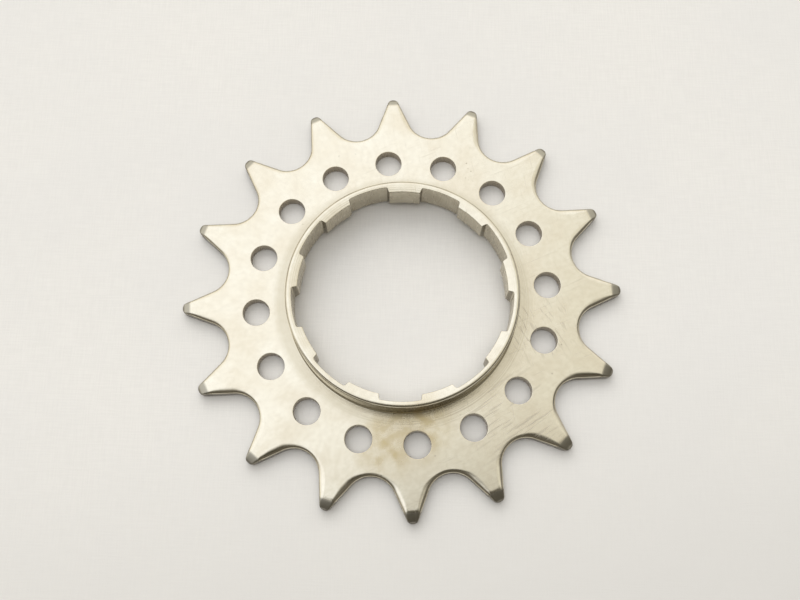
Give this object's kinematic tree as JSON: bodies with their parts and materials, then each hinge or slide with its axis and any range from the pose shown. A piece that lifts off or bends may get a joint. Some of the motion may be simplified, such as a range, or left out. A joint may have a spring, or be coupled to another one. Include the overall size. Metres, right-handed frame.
{
  "type": "single speed sprocket",
  "caption": "Flat toothed steel sprocket ring with a raised collar, a splined bore and a ring of small round holes.",
  "frame": {"origin": "centre of the bore on the back face, which the part lies on", "axes": "+Z along the bore's axis towards the collar's end face; +Y through the middle of one spline tab"},
  "size_m": [0.0704, 0.0704, 0.0068],
  "materials": {
    "plated_steel": "plated, satin to bright, faint turning marks"
  },
  "bodies": {
    "root": {"sprocket": "plated_steel"}
  },
  "joints": []
}
